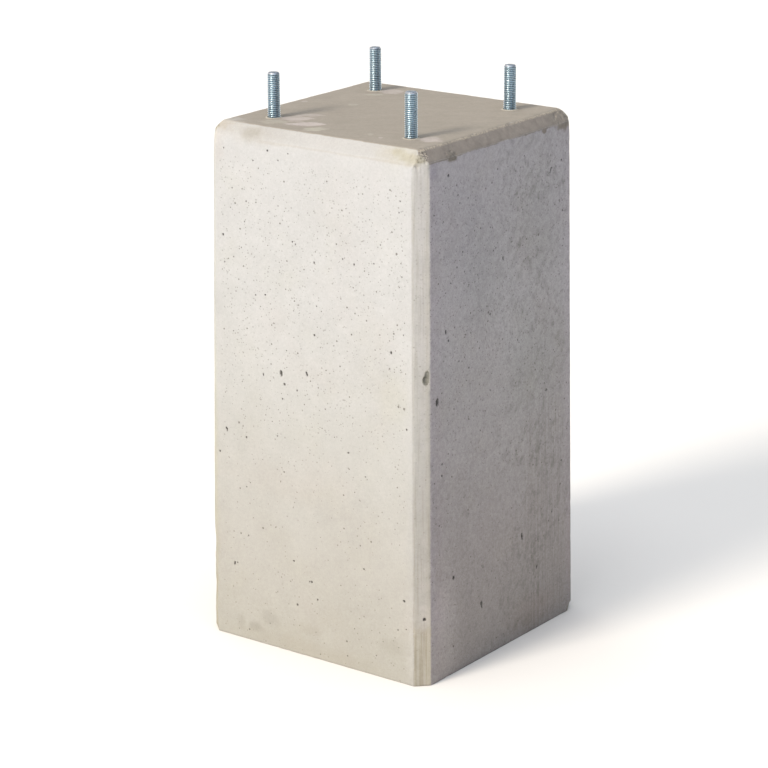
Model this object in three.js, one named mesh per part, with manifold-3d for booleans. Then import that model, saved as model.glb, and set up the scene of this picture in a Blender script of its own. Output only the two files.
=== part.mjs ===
// Precast concrete column base block with four threaded rods cast into its top.
// Millimetres, +Z up, origin at the middle of the underside.
//
// The block is cast upside down in a tapered mould, so it is a little narrower at the top.
// Its upright edges are chamfered and its top edges are bevelled, while the bottom edges stay sharp.
// Seen from the front left: +X is the shaded side, -Y the sunlit one.

import * as THREE from 'three';
import { ConvexGeometry } from 'three/addons/geometries/ConvexGeometry.js';
import { mergeVertices } from 'three/addons/utils/BufferGeometryUtils.js';
import Module from 'manifold-3d';

const wasm = await Module();
wasm.setup();

// Block
const blockHeight = 500;
const baseSide = 259;
const topSide = 246; // across the faces at the lower edge of the top bevel
const edgeChamfer = 11.5; // leg of the chamfer along each upright edge
const topBevel = 11; // width and height of the bevel round the top

// Rods: a metric M12 thread
const rodSpacing = 156; // between rod axes, both ways
const rodProtrusion = 42;
const rodEmbedment = 110; // hidden in the concrete
const threadMajor = 12;
const threadPitch = 1.75;
const rodEndChamfer = 1.3;
const socketClearance = 0.3; // radial, between the rod and the concrete round it

// Mesh fineness
const threadSegments = 12;
const socketSegments = 24;
const threadRunBelowTop = 3; // how far the modelled thread runs down into the socket

// Solids and meshes

function toSolid(geometry) {
  const bare = geometry.clone();
  bare.deleteAttribute('normal');
  bare.deleteAttribute('uv');
  const welded = mergeVertices(bare, 1e-4);
  return new wasm.Manifold(new wasm.Mesh({
    numProp: 3,
    vertProperties: Float32Array.from(welded.attributes.position.array),
    triVerts: Uint32Array.from(welded.index.array),
  }));
}

function toGeometry(solid) {
  const mesh = solid.getMesh();
  const geometry = new THREE.BufferGeometry();
  geometry.setAttribute('position', new THREE.BufferAttribute(mesh.vertProperties, 3));
  geometry.setIndex(new THREE.BufferAttribute(mesh.triVerts, 1));
  geometry.computeVertexNormals();
  return geometry;
}

function cylinderSolid(radius, bottom, top, segments) {
  const geometry = new THREE.CylinderGeometry(radius, radius, top - bottom, segments);
  geometry.rotateX(Math.PI / 2);
  geometry.translate(0, 0, (top + bottom) / 2);
  return toSolid(geometry);
}

// Block

const bevelFoot = blockHeight - topBevel;

// Half the distance between opposite faces at a height, following the mould's taper.
function halfSideAt(z) {
  return (baseSide + (topSide - baseSide) * z / bevelFoot) / 2;
}

// Corners of a square section of the given half side, each cut off by a chamfer leg.
function sectionCorners(half, cut, z) {
  const corners = [];
  for (const sx of [-1, 1]) {
    for (const sy of [-1, 1]) {
      if (cut > 0) {
        corners.push(new THREE.Vector3(sx * (half - cut), sy * half, z));
        corners.push(new THREE.Vector3(sx * half, sy * (half - cut), z));
      } else {
        corners.push(new THREE.Vector3(sx * half, sy * half, z));
      }
    }
  }
  return corners;
}

// The upright chamfers run up into the bevel and end there in a point.
function plainBlock() {
  const chamferEnd = Math.min(edgeChamfer / 2, topBevel);
  const half = halfSideAt(bevelFoot);
  const points = sectionCorners(halfSideAt(0), edgeChamfer, 0);
  for (const rise of new Set([0, chamferEnd, topBevel])) {
    const cut = Math.max(0, edgeChamfer - 2 * rise);
    points.push(...sectionCorners(half - rise, cut, bevelFoot + rise));
  }
  return toSolid(new ConvexGeometry(points));
}

const lumpRoughness = 0.16; // share of the size

// A rough lump with the given half sizes, used to break concrete away.
function lumpSolid(place, halfSizes, seed) {
  const geometry = new THREE.IcosahedronGeometry(1, 1);
  const position = geometry.attributes.position;
  const point = new THREE.Vector3();
  for (let i = 0; i < position.count; i++) {
    point.fromBufferAttribute(position, i);
    const { x, y, z } = point;
    const wobble = Math.sin(5 * x + seed) * Math.cos(4 * y - seed) * Math.sin(6 * z + 2 * seed);
    point.multiplyScalar(1 + lumpRoughness * wobble).multiply(halfSizes);
    point.applyAxisAngle(new THREE.Vector3(0, 0, 1), seed).add(place);
    position.setXYZ(i, point.x, point.y, point.z);
  }
  return toSolid(geometry);
}

// Broken corners. The lump's centre is set out along "out" until it bites only "bite" deep.
const cornerBreaks = [
  { sx: 1, sy: -1, end: 'top', out: [1, -1, 1.1], radius: 15, bite: 2.6, seed: 1.3 },
  { sx: 1, sy: 1, end: 'top', out: [1, 0.7, 1.2], radius: 13, bite: 2.4, seed: 2.1 },
  { sx: -1, sy: -1, end: 'top', out: [-1, -1, 1.2], radius: 20, bite: 1.8, seed: 3.7 },
  { sx: -1, sy: 1, end: 'top', out: [-1, 1, 1.1], radius: 16, bite: 1.6, seed: 4.4 },
  { sx: 1, sy: 1, end: 'bottom', out: [1, 0.5, -1], radius: 9, bite: 4.2, seed: 5.2 },
  { sx: -1, sy: -1, end: 'bottom', out: [-1, -1, -1], radius: 8, bite: 1.6, seed: 0.6 },
];

function cornerBreak({ sx, sy, end, out, radius, bite, seed }) {
  const atTop = end === 'top';
  const rise = Math.min(edgeChamfer / 2, topBevel);
  const half = atTop ? halfSideAt(bevelFoot) - rise : halfSideAt(0) - edgeChamfer / 2;
  const place = new THREE.Vector3(sx * half, sy * half, atTop ? bevelFoot + rise : 0);
  const outward = new THREE.Vector3(...out).normalize();
  place.addScaledVector(outward, radius - bite);
  return lumpSolid(place, new THREE.Vector3(radius, radius, radius), seed);
}

// Chip out of the front chamfer's edge, where it meets the +X face.
const edgeChip = { z: 294, width: 7, height: 13.5, depth: 2.6, seed: 2.6 };

function edgeChipSolid() {
  const { z, width, height, depth, seed } = edgeChip;
  const half = halfSideAt(z);
  const place = new THREE.Vector3(half, -half + 0.75 * edgeChamfer, z);
  return lumpSolid(place, new THREE.Vector3(depth, width / 2, height / 2), seed);
}

// The largest air holes: face, place across it, height, and the hole's width and height.
const airHoles = [
  { face: '-Y', across: -36, z: 273, width: 3.4, height: 5.4 },
  { face: '-Y', across: -6, z: 277.5, width: 2.4, height: 4.4 },
  { face: '-Y', across: -32, z: 263, width: 2.4, height: 3.8 },
  { face: '+X', across: 32, z: 101, width: 4, height: 8 },
  { face: '+X', across: -36, z: 54, width: 3.6, height: 8 },
  { face: '+X', across: -104, z: 269.5, width: 4.4, height: 8 },
];
const airHoleDepth = 1.8;

function airHole({ face, across, z, width, height }, index) {
  const half = halfSideAt(z);
  const onRight = face === '+X';
  const place = onRight ? new THREE.Vector3(half, across, z) : new THREE.Vector3(across, -half, z);
  const halfSizes = onRight
    ? new THREE.Vector3(airHoleDepth, width / 2, height / 2)
    : new THREE.Vector3(width / 2, airHoleDepth, height / 2);
  const geometry = new THREE.IcosahedronGeometry(1, 0);
  geometry.rotateZ(index);
  geometry.scale(halfSizes.x, halfSizes.y, halfSizes.z);
  geometry.translate(place.x, place.y, place.z);
  return toSolid(geometry);
}

// Rods

const rodRadius = threadMajor / 2;
const threadHeight = 0.6134 * threadPitch; // depth of an ISO metric external thread
const shankRadius = rodRadius - threadHeight / 2; // the hidden length is left unthreaded
const socketRadius = (rodRadius + socketClearance) / Math.cos(Math.PI / socketSegments);

function rodAxes() {
  const axes = [];
  for (const [row, sy] of [['front', -1], ['back', 1]]) {
    for (const [side, sx] of [['left', -1], ['right', 1]]) {
      axes.push({ name: `${row}_${side}`, x: sx * rodSpacing / 2, y: sy * rodSpacing / 2 });
    }
  }
  return axes;
}

// A helical thread as one closed solid. Rows follow the helix, two to a turn's pitch: crest, root.
// After a full turn a row meets the row two further on, and a fan to the axis closes each end.
function helicalThread(bottom, top) {
  const rowRadii = [rodRadius, rodRadius - threadHeight];
  const rowsPerTurn = rowRadii.length;
  const rows = rowsPerTurn * Math.ceil((top - bottom) / threadPitch);
  const positions = [];
  const index = [];
  const vertex = (i, j) => {
    const turned = Math.floor(i / threadSegments);
    return (j + turned * rowsPerTurn) * threadSegments + (i % threadSegments);
  };
  for (let j = 0; j <= rows + rowsPerTurn; j++) {
    for (let i = 0; i < threadSegments; i++) {
      const angle = i / threadSegments * 2 * Math.PI;
      const radius = rowRadii[j % rowsPerTurn];
      const z = bottom + (j / rowsPerTurn + i / threadSegments) * threadPitch;
      positions.push(radius * Math.cos(angle), radius * Math.sin(angle), z);
    }
  }
  for (let j = 0; j < rows; j++) {
    for (let i = 0; i < threadSegments; i++) {
      const [a, b, c, d] = [vertex(i, j), vertex(i + 1, j), vertex(i + 1, j + 1), vertex(i, j + 1)];
      index.push(a, b, c, a, c, d);
    }
  }
  const lowCentre = positions.length / 3;
  const highCentre = lowCentre + 1;
  positions.push(0, 0, bottom, 0, 0, bottom + (rows / rowsPerTurn + 1) * threadPitch);
  for (const [row, centre] of [[0, lowCentre], [rows, highCentre]]) {
    const rim = [];
    for (let i = 0; i < threadSegments; i++) rim.push(vertex(i, row));
    for (let j = rowsPerTurn; j > 0; j--) rim.push(vertex(0, row + j));
    for (let i = 0; i < rim.length; i++) {
      const [a, b] = [rim[i], rim[(i + 1) % rim.length]];
      if (centre === lowCentre) index.push(centre, b, a);
      else index.push(centre, a, b);
    }
  }
  const geometry = new THREE.BufferGeometry();
  geometry.setAttribute('position', new THREE.Float32BufferAttribute(positions, 3));
  geometry.setIndex(index);
  return toSolid(geometry);
}

// Round bar, chamfered at its top end, that trims the thread to length.
function trimmedBar(bottom, top, radius) {
  const profile = [
    new THREE.Vector2(0, bottom),
    new THREE.Vector2(radius, bottom),
    new THREE.Vector2(radius, top - rodEndChamfer),
    new THREE.Vector2(rodRadius - rodEndChamfer, top),
    new THREE.Vector2(0, top),
  ];
  const geometry = new THREE.LatheGeometry(profile, socketSegments);
  geometry.rotateX(Math.PI / 2);
  return toSolid(geometry);
}

function rodSolid() {
  const tip = blockHeight + rodProtrusion;
  const foot = blockHeight - rodEmbedment;
  const threadFoot = blockHeight - threadRunBelowTop;
  const trimRadius = rodRadius / Math.cos(Math.PI / socketSegments);
  const thread = helicalThread(threadFoot - threadPitch, tip + threadPitch);
  const trimmed = thread.intersect(trimmedBar(threadFoot, tip, trimRadius));
  const shank = cylinderSolid(shankRadius, foot, threadFoot + threadPitch, threadSegments);
  return trimmed.add(shank);
}

function blockSolid() {
  let solid = plainBlock();
  const socketFoot = blockHeight - rodEmbedment - socketClearance;
  for (const { x, y } of rodAxes()) {
    const socket = cylinderSolid(socketRadius, socketFoot, blockHeight + topBevel, socketSegments);
    solid = solid.subtract(socket.translate([x, y, 0]));
  }
  for (const broken of cornerBreaks) solid = solid.subtract(cornerBreak(broken));
  solid = solid.subtract(edgeChipSolid());
  airHoles.forEach((hole, index) => {
    solid = solid.subtract(airHole(hole, index));
  });
  return solid;
}

// Scene graph

const concrete = new THREE.MeshStandardMaterial({
  name: 'concrete',
  color: 0xc9c3b6,
  roughness: 0.92,
  metalness: 0,
});
const zincSteel = new THREE.MeshStandardMaterial({
  name: 'zinc_steel',
  color: 0x9fb6bd,
  roughness: 0.35,
  metalness: 1,
});

const columnBase = new THREE.Group();

const block = new THREE.Mesh(toGeometry(blockSolid()), concrete);
block.name = 'concrete_block';
columnBase.add(block);

const rodGeometry = toGeometry(rodSolid());
for (const { name, x, y } of rodAxes()) {
  const rod = new THREE.Mesh(rodGeometry, zincSteel);
  rod.name = `threaded_rod_${name}`;
  rod.position.set(x, y, 0);
  columnBase.add(rod);
}

export default columnBase;
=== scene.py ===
"""Looks of a precast concrete column base block with four threaded rods in its top.

Lengths are in millimetres until a mesh is made, and the axes are the CAD frame's: +Z up, +X the
shaded side, -Y the sunlit one. The block's surface is a fine mesh drawn onto one implicit form:
flat faces with slight waves, worn edges, air holes, broken corners and a chip.
"""

import itertools
import math

import bpy
import numpy as np
from mathutils import Matrix, Vector
from mathutils.geometry import delaunay_2d_cdt


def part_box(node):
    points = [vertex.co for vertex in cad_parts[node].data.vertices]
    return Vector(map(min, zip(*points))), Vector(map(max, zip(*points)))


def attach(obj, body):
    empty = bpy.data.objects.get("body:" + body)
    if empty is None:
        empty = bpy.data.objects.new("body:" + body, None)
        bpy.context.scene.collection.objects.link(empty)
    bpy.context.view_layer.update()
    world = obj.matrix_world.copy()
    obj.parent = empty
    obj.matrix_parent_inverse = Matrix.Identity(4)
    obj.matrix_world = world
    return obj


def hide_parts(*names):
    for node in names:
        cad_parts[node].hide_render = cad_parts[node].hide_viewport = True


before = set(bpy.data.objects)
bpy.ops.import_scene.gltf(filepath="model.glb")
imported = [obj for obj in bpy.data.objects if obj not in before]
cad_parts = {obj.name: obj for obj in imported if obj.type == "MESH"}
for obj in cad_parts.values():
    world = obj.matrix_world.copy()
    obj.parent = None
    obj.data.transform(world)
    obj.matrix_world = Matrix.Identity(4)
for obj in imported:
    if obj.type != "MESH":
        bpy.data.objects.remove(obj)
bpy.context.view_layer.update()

MM = 0.001
SEED = 11

# Sizes, in millimetres: what the frame gives, then what it doesn't
block_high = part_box("concrete_block")[1]
HEIGHT = block_high.z / MM
BASE_HALF = block_high.x / MM
FOOT_HALF = 123.0  # half the width at the lower edge of the top bevel
BEVEL = 11.0
CHAMFER = 11.5  # leg of the chamfer along each upright edge
FOOT = HEIGHT - BEVEL
TAPER = (BASE_HALF - FOOT_HALF) / FOOT

ROD_NAMES = ("front_left", "front_right", "back_left", "back_right")
ROD_RADIUS = 6.0
ROD_END_CHAMFER = 1.3
THREAD_PITCH = 1.75
THREAD_HEIGHT = 0.6134 * THREAD_PITCH
SOCKET_RADIUS = 6.1
SOCKET_FOOT = 389.7

# Fineness of the block's mesh: lengths of a triangle's longest edge
FLAT_SIZE = 9.0
TOP_SIZE = 6.0
EDGE_SIZE = 1.7
HIDDEN_EDGE_SIZE = 3.4
BREAK_SIZE = 1.1
CRUMB_SIZE = 1.2
SOCKET_SIZE = 1000.0
UNDERSIDE_SIZE = 2.5
COARSER = 0.7  # how much longer an edge may be for each millimetre away from a fine place


# Noise

lattice = np.random.default_rng(SEED).uniform(-1, 1, 65536)


def noise(points, size, seed=0):
    """Smooth noise between -1 and 1, with blobs of about the given size (a number or three)."""
    place = points / size + 37.7 * (seed + 1)
    cell = np.floor(place).astype(np.int64)
    inside = place - cell
    inside = inside * inside * (3 - 2 * inside)
    total = np.zeros(len(points))
    for corner in itertools.product((0, 1), repeat=3):
        at = cell + corner
        index = (at[:, 0] * 73856093) ^ (at[:, 1] * 19349663) ^ (at[:, 2] * 83492791)
        share = np.prod(np.where(corner, inside, 1 - inside), axis=1)
        total += share * lattice[index & 65535]
    return total


def step(value, low, high):
    """Goes smoothly from 0 at low to 1 at high."""
    t = np.clip((value - low) / (high - low), 0, 1)
    return t * t * (3 - 2 * t)


# Flat faces of the block

SIDES = ((1, 0), (-1, 0), (0, 1), (0, -1))
CORNERS = ((1, 1), (1, -1), (-1, 1), (-1, -1))
RIGHT, REAR_LEFT, REAR_RIGHT, LEFT = range(4)
FIRST_CHAMFER, FRONT_CHAMFER, FIRST_BEVEL, TOP, BOTTOM = 4, 5, 8, 12, 13
RIGHT_BEVEL, LEFT_BEVEL = 8, 11
LEFT_CHAMFER = 7
HOLED_FACES = (RIGHT, REAR_LEFT, REAR_RIGHT, LEFT, FRONT_CHAMFER)
CRUMBLING_FACES = np.array((RIGHT, LEFT, FRONT_CHAMFER, RIGHT_BEVEL, LEFT_BEVEL))


def face_planes():
    """One row for each flat face: its outward normal and its distance from the origin."""
    rows = [(sx, sy, TAPER, BASE_HALF) for sx, sy in SIDES]
    rows += [(sx, sy, 2 * TAPER, 2 * BASE_HALF - CHAMFER) for sx, sy in CORNERS]
    rows += [(sx, sy, 1, FOOT_HALF + FOOT) for sx, sy in SIDES]
    rows += [(0, 0, 1, HEIGHT), (0, 0, -1, 0)]
    rows = np.array(rows, float)
    return rows / np.linalg.norm(rows[:, :3], axis=1, keepdims=True)


PLANES = face_planes()


def half_side(z):
    return BASE_HALF - TAPER * np.minimum(z, FOOT) - np.maximum(0, z - FOOT)


def heights_over_faces(points):
    return points @ PLANES[:, :3].T - PLANES[:, 3]


# Air holes. The named ones are those that stand out, the others are strewn by a seeded draw.

# face, place across it, height, half width, half height, depth, lean
NAMED_HOLES = (
    (LEFT, -36, 273, 1.7, 2.8, 1.8, -0.15),
    (LEFT, -6, 277.5, 1.1, 2.2, 1.6, -0.3),
    (LEFT, -32, 263, 1.2, 1.3, 1.4, 0.0),
    (LEFT, -57, 268, 0.7, 1.6, 1.0, 0.0),
    (LEFT, -102, 207, 1.2, 1.7, 1.6, -0.3),
    (LEFT, 3, 316, 1.0, 1.1, 1.2, 0.0),
    (LEFT, -94, 74, 1.0, 2.2, 1.5, 0.1),
    (LEFT, -22, 92, 1.0, 1.0, 1.2, 0.0),
    (LEFT, -1, 75.5, 1.1, 1.1, 1.4, 0.0),
    (LEFT, -18, 49, 1.1, 1.1, 1.3, 0.0),
    (LEFT, 60, 102, 0.9, 0.9, 1.1, 0.0),
    (LEFT, 106, 81, 1.2, 1.2, 1.4, 0.0),
    (LEFT, 42, 211, 1.2, 0.8, 1.0, 0.2),
    (RIGHT, 32, 101, 1.5, 3.7, 1.9, -0.1),
    (RIGHT, -36, 54, 1.5, 3.7, 1.9, -0.15),
    (RIGHT, -81, 94.5, 1.7, 1.7, 1.6, 0.0),
    (RIGHT, 57, 63, 1.0, 2.2, 1.3, 0.25),
    (RIGHT, -90, 331.5, 1.0, 2.2, 1.5, -0.05),
    (RIGHT, -20, 332, 1.0, 1.3, 1.4, 0.0),
    (RIGHT, 73, 236.5, 1.0, 1.3, 1.2, 0.0),
    (RIGHT, 1, 380, 1.0, 2.4, 1.6, -0.1),
    (RIGHT, -98, 198, 0.9, 1.2, 1.2, 0.0),
    (RIGHT, -104, 269.5, 2.2, 3.8, 1.8, 0.2),
    (RIGHT, -84, 473, 1.2, 1.3, 1.4, 0.0),
    (RIGHT, 80, 448, 0.8, 2.6, 1.3, 0.3),
    (FRONT_CHAMFER, 2, 65, 1.6, 1.6, 1.6, 0.0),
)
STREWN_HOLES = 42  # on each side
STREWN_HALF_WIDTHS = (0.7, 1.1)


def strewn_holes():
    """Small round holes, most of them in the upper half, as the last air rises in the mould."""
    draw = np.random.default_rng(SEED + 1)
    holes = []
    for face in range(len(SIDES)):
        across = draw.uniform(-112, 112, STREWN_HOLES)
        up = draw.uniform(0.03, 0.95, STREWN_HOLES) ** 0.72 * HEIGHT
        spread = draw.uniform(0, 1, STREWN_HOLES) ** 4
        low, high = STREWN_HALF_WIDTHS
        half_widths = low + (high - low) * spread
        tall = draw.uniform(0.9, 1.4, STREWN_HOLES)
        for a, z, half, stretch in zip(across, up, half_widths, tall):
            holes.append((face, a, z, half, half * stretch, 1.1 * half, 0.0))
    return holes


HOLES = list(NAMED_HOLES) + strewn_holes()


def across_face(points, face):
    """Where points lie across a face: y on the sides that face +X and -X, x on the others."""
    if face == FRONT_CHAMFER:
        middle = half_side(points[:, 2]) - CHAMFER / 2
        return ((points[:, 0] - middle) + (points[:, 1] + middle)) / math.sqrt(2)
    return points[:, 1] if SIDES[face][0] else points[:, 0]


def hole_depth(points, face):
    """How deep the air holes of a face go at each point."""
    depth = np.zeros(len(points))
    u, z = across_face(points, face), points[:, 2]
    order = np.argsort(z)
    for hole_face, across, up, half_width, half_height, deep, lean in HOLES:
        if hole_face != face:
            continue
        first, last = np.searchsorted(z[order], (up - 1.3 * half_height, up + 1.3 * half_height))
        near = order[first:last]
        near = near[np.abs(u[near] - across) < 2 * half_width + 1]
        rise = z[near] - up
        aside = (u[near] - across - lean * rise) / half_width
        wobble = 1 + 0.18 * noise(points[near], 1.6, 3)
        out = np.hypot(aside, rise / half_height) * wobble
        bowl = deep * np.sqrt(np.clip(1 - out**2, 0, 1))
        depth[near] = np.maximum(depth[near], bowl)
    return depth


def hole_sizes():
    """Map of the wanted triangle size over each face, one cell a millimetre."""
    wide, tall = int(2 * BASE_HALF) + 2, int(HEIGHT) + 2
    sizes = np.full((FIRST_BEVEL, wide, tall), FLAT_SIZE)
    for face, across, up, half_width, half_height, _, _ in HOLES:
        fine = max(0.6, 0.75 * half_width)
        reach = int(half_height + (FLAT_SIZE - fine) / COARSER) + 1
        u, z = int(across + BASE_HALF), int(up)
        left, low = max(0, u - reach), max(0, z - reach)
        spot = sizes[face, left : u + reach, low : z + reach]
        aside = np.abs(np.arange(spot.shape[0]) + left + 0.5 - BASE_HALF - across)[:, None]
        rise = np.abs(np.arange(spot.shape[1]) + low + 0.5 - up)[None, :]
        away = np.hypot(np.maximum(0, aside - half_width), np.maximum(0, rise - half_height))
        np.minimum(spot, fine + COARSER * np.maximum(0, away - 0.6), out=spot)
    return sizes


# Broken places: centre, half sizes and roughness of the lump that is missing

# corner, which end, outward direction, radius, depth of the bite
CORNER_BREAKS = (
    (1, -1, "top", (1, -1, 1.1), 15, 2.6),
    (1, 1, "top", (1, 0.7, 1.2), 13, 2.4),
    (-1, -1, "top", (-1, -1, 1.2), 20, 1.8),
    (-1, 1, "top", (-1, 1, 1.1), 16, 1.6),
    (1, 1, "bottom", (1, 0.35, -0.8), 16, 8),
    (-1, -1, "bottom", (-1, -1, -1), 9, 3.0),
)
# Chip on the front chamfer: share across it, height and half sizes of each part of the lump
CHIP_HEIGHT = 294
CHIP_LUMPS = ((0.72, -1.6, (3.2, 3.2, 5.0)), (0.79, 3.0, (2.8, 2.8, 5.0)))
CHIP_LIFT = 1.3  # how far the lumps' middles stand off the chamfer, both ways


def missing_lumps():
    lumps = []
    rise = CHAMFER / 2
    for sx, sy, end, out, radius, bite in CORNER_BREAKS:
        z = FOOT + rise if end == "top" else 0
        half = half_side(z) if end == "top" else BASE_HALF - rise
        out = np.array(out, float) / np.linalg.norm(out)
        centre = np.array((sx * half, sy * half, z)) + out * (radius - bite)
        lumps.append((centre, np.full(3, float(radius))))
    half = half_side(CHIP_HEIGHT)
    for share, rise, half_sizes in CHIP_LUMPS:
        along, across = (1 - share) * CHAMFER, share * CHAMFER
        centre = (half - along + CHIP_LIFT, -half + across - CHIP_LIFT, CHIP_HEIGHT + rise)
        lumps.append((np.array(centre), np.array(half_sizes)))
    return lumps


LUMPS = missing_lumps()

# Places where the skin has crumbled: middle and reach
CRUMBLY_PLACES = (
    (np.array((118.0, -118.0, 494.0)), 13.0),
    (np.array((117.0, 108.0, 494.0)), 16.0),
    (np.array((120.0, -76.0, 489.0)), 8.0),
)


# Worn strip along the edge between the front chamfer and the +X face
STRIP_LOW, STRIP_HIGH = 84, 282
STRIP_DEPTH = 0.7
STRIP_NORMAL = np.array((math.cos(math.radians(22.5)), -math.sin(math.radians(22.5)), 0))


def strip_height(points):
    """Height of points over the worn strip's own little face."""
    z = points[:, 2]
    half = half_side(z)
    edge = STRIP_NORMAL[0] * half - STRIP_NORMAL[1] * (half - CHAMFER)
    shown = step(z, STRIP_LOW - 6, STRIP_LOW + 2) * (1 - step(z, STRIP_HIGH - 2, STRIP_HIGH + 6))
    depth = 1.7 * STRIP_DEPTH * shown - 0.7 * STRIP_DEPTH
    return points @ STRIP_NORMAL - edge + depth


# The block's relief

def rod_axes():
    axes = []
    for name in ROD_NAMES:
        low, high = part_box("threaded_rod_" + name)
        middle = (low + high) / 2 / MM
        axes.append((middle.x, middle.y))
    return axes


ROD_AXES = rod_axes()
ROD_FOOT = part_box("threaded_rod_front_left")[0].z / MM
ROD_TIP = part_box("threaded_rod_front_left")[1].z / MM


def from_rods(points):
    """Distance to the nearest rod's axis."""
    return np.min([np.hypot(points[:, 0] - x, points[:, 1] - y) for x, y in ROD_AXES], axis=0)


def carved(points):
    """How far each flat face lies inside the plain one at each point: one column a face."""
    depth = np.zeros((len(points), len(PLANES)))
    waves = 0.17 + 0.11 * noise(points, 70, 1) + 0.06 * noise(points, 16, 2)
    depth[:, :FIRST_BEVEL] = waves[:, None]
    fine = noise(points, 2.6, 5)
    crumbs = noise(points, 5.5, 6)
    lumps = noise(points, 17, 7)
    bevel = 0.45 + 0.22 * lumps + 0.12 * crumbs + 0.06 * fine
    depth[:, FIRST_BEVEL:TOP] = bevel[:, None]
    rough = 0.7 + 0.42 * lumps + 0.2 * crumbs + 0.12 * fine
    depth[:, RIGHT_BEVEL] = rough
    upper_rim = step(points[:, 2], 494.5, 498) * (points[:, 0] > 100)
    notches = np.maximum(0, noise(points, 3.4, 15)) ** 2
    depth[:, RIGHT_BEVEL] += 0.8 * upper_rim * notches
    for centre, reach in CRUMBLY_PLACES:
        near = np.flatnonzero(np.linalg.norm(points - centre, axis=1) < 1.5 * reach)
        place = points[near]
        shown = 1 - step(np.linalg.norm(place - centre, axis=1), 0.6 * reach, 1.4 * reach)
        pits = np.maximum(0, noise(place, 2.6, 16) + 0.25 * noise(place, 1.3, 17)) ** 1.5
        lost = shown * (1.1 * pits + 0.25 * crumbs[near])
        depth[near[:, None], CRUMBLING_FACES] += lost[:, None]
    low_down = 1 - step(points[:, 2], 78, 112)
    depth[:, LEFT_CHAMFER] += low_down * (1.5 + 0.6 * lumps + 0.5 * crumbs)
    near_corner = step(points[:, 0], 55, 100)
    depth[:, LEFT_BEVEL] += near_corner * (0.35 + 0.3 * crumbs + 0.22 * fine)
    trowel = noise(points, (60, 14, 60), 8)
    depth[:, TOP] = 0.16 + 0.08 * trowel + 0.05 * noise(points, 30, 9) + 0.03 * fine
    collar = 1 - step(from_rods(points), SOCKET_RADIUS + 0.4, SOCKET_RADIUS + 2.6 + 0.8 * crumbs)
    depth[:, TOP] -= 0.85 * collar
    for face in HOLED_FACES:
        depth[:, face] += hole_depth(points, face)
    return depth


def edge_radius(points):
    """How softly neighbouring faces meet: most softly at the sunlit side's left end."""
    wear = np.maximum(0, noise(points, 7, 12)) ** 2
    near_foot = 1 - step(np.abs(points[:, 2] - FOOT), 3, 14)
    left_end = 1 - step(points[:, 0] + 0.3 * points[:, 1], -95, -60)
    return 0.32 + 0.5 * wear + near_foot * (0.45 + 0.9 * left_end)


def surface(points):
    """The block's implicit form: height over the surface, and its gradient."""
    planes = heights_over_faces(points) + carved(points)
    heights = np.hstack((planes, strip_height(points)[:, None]))
    normals = np.vstack((PLANES[:, :3], STRIP_NORMAL))
    radius = edge_radius(points)[:, None]
    top = heights.max(axis=1, keepdims=True)
    shares = np.exp((heights - top) / radius)
    total = shares.sum(axis=1, keepdims=True)
    height = (top + radius * np.log(total))[:, 0]
    gradient = (shares / total) @ normals
    for centre, half_sizes in LUMPS:
        near = np.flatnonzero(np.all(np.abs(points - centre) < 1.2 * half_sizes, axis=1))
        offset = (points[near] - centre) / half_sizes
        length = np.linalg.norm(offset, axis=1)
        ragged = 0.05 * noise(points[near], 6, 13) + 0.025 * noise(points[near], 2, 14)
        inside = (1 + ragged - length) * half_sizes.min()
        deeper = inside > height[near]
        chosen = near[deeper]
        height[chosen] = inside[deeper]
        slope = offset[deeper] / half_sizes / length[deeper, None]
        gradient[chosen] = -slope * half_sizes.min()
    return height, gradient


# The block's mesh

ACROSS = 10  # pieces across a side before refining
STOREYS = 20
SEGMENTS = 48  # of a socket and of a rod
CAP_REACH, CAP_STEP = 99, 22  # grid of points inside the top and the underside
CAP_CLEARANCE = 12  # from a rod's axis to the nearest point of the grid
DRAWING_ROUNDS = 6
FARTHEST_MOVE = 4.0


def ring(z):
    """Points once round the plain block's section at a height."""
    half = half_side(z)
    cut = max(0.0, CHAMFER - 2 * max(0.0, z - FOOT))
    short = half - cut
    corners = np.array((
        (half, -short), (half, short), (short, half), (-short, half),
        (-half, short), (-half, -short), (-short, -half), (short, -half),
    ))
    points = []
    for index, corner in enumerate(corners):
        towards = corners[(index + 1) % len(corners)] - corner
        pieces = 1 if index % 2 else ACROSS
        points += [(*(corner + towards * i / pieces), z) for i in range(pieces)]
    return np.array(points)


def circle(x, y, radius, z):
    turned = np.arange(SEGMENTS) / SEGMENTS * 2 * math.pi
    level = np.full(SEGMENTS, z)
    return np.column_stack((x + radius * np.cos(turned), y + radius * np.sin(turned), level))


def tube(rings):
    """Points and triangles of a skin over rings of equal count, from the first to the last."""
    count = len(rings[0])
    i = np.arange(count)
    j = (i + 1) % count
    triangles = []
    for lower in range(0, (len(rings) - 1) * count, count):
        upper = lower + count
        triangles.append(np.column_stack((lower + i, lower + j, upper + j)))
        triangles.append(np.column_stack((lower + i, upper + j, upper + i)))
    return np.vstack(rings), np.vstack(triangles)


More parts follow.
